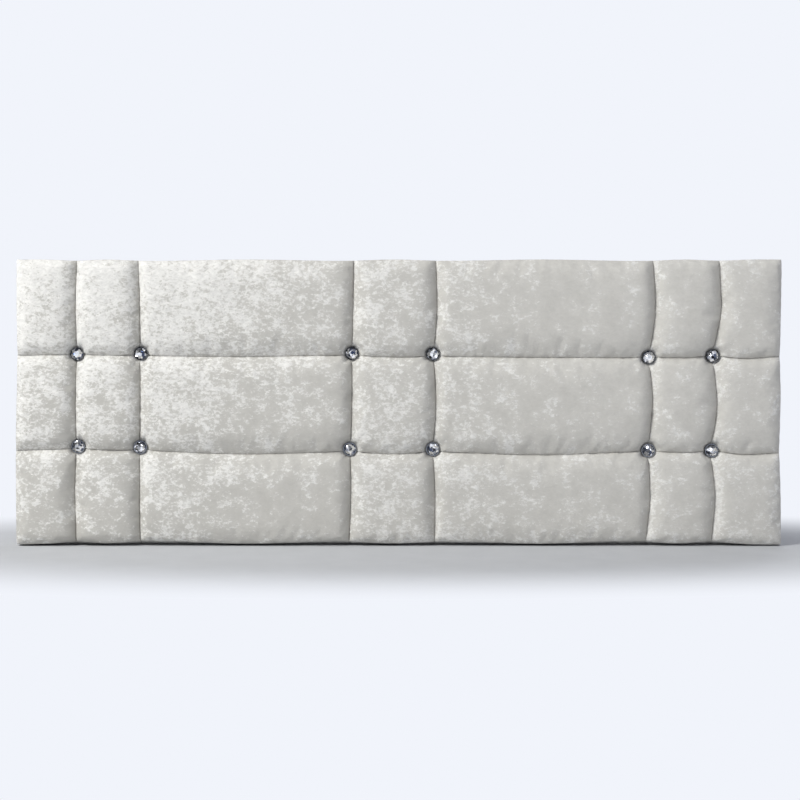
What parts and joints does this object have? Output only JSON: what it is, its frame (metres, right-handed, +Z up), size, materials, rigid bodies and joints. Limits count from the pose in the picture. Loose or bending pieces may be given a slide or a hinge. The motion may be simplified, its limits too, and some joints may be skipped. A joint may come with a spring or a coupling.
{
  "type": "upholstered headboard",
  "caption": "Wide low padded headboard covered in crushed velvet, sewn into block-shaped pads with crystal buttons at the seam crossings, on a softwood frame.",
  "frame": {"origin": "on the floor plane under the bottom edge, midway along the width and midway through the depth, with the part upright as in use", "axes": "+X along the width, to the right as seen from the front; +Y from the padded front to the back, so the front faces -Y; +Z up"},
  "size_m": [1.37, 0.0697, 0.513],
  "materials": {
    "velvet": "satin",
    "foam": "matte",
    "hardboard": "matte",
    "softwood": "matte",
    "fixing_steel": "satin",
    "crystal": "polished",
    "button_metal": "polished",
    "twine": "matte",
    "toggle_plastic": "matte",
    "staple_wire": "satin",
    "dust_cloth": "matte"
  },
  "bodies": {
    "root": {"velvet_cover": "velvet", "foam_slab": "foam", "face_panel": "hardboard", "bottom_rail": "softwood", "top_rail": "softwood", "left_stile": "softwood", "left_strut_batten": "softwood", "centre_batten": "softwood", "right_strut_batten": "softwood", "right_stile": "softwood", "lower_left_corner_block": "softwood", "upper_left_corner_block": "softwood", "lower_right_corner_block": "softwood", "upper_right_corner_block": "softwood", "frame_screws": "fixing_steel", "panel_pins": "fixing_steel", "tee_nuts": "fixing_steel", "button_crystal_1": "crystal", "button_cup_1": "button_metal", "button_crystal_2": "crystal", "button_cup_2": "button_metal", "button_crystal_3": "crystal", "button_cup_3": "button_metal", "button_crystal_4": "crystal", "button_cup_4": "button_metal", "button_crystal_5": "crystal", "button_cup_5": "button_metal", "button_crystal_6": "crystal", "button_cup_6": "button_metal", "button_crystal_7": "crystal", "button_cup_7": "button_metal", "button_crystal_8": "crystal", "button_cup_8": "button_metal", "button_crystal_9": "crystal", "button_cup_9": "button_metal", "button_crystal_10": "crystal", "button_cup_10": "button_metal", "button_crystal_11": "crystal", "button_cup_11": "button_metal", "button_crystal_12": "crystal", "button_cup_12": "button_metal", "button_twines": "twine", "button_toggles": "toggle_plastic", "cover_staples": "staple_wire", "dust_cover": "dust_cloth", "dust_cover_staples": "staple_wire"}
  },
  "joints": []
}
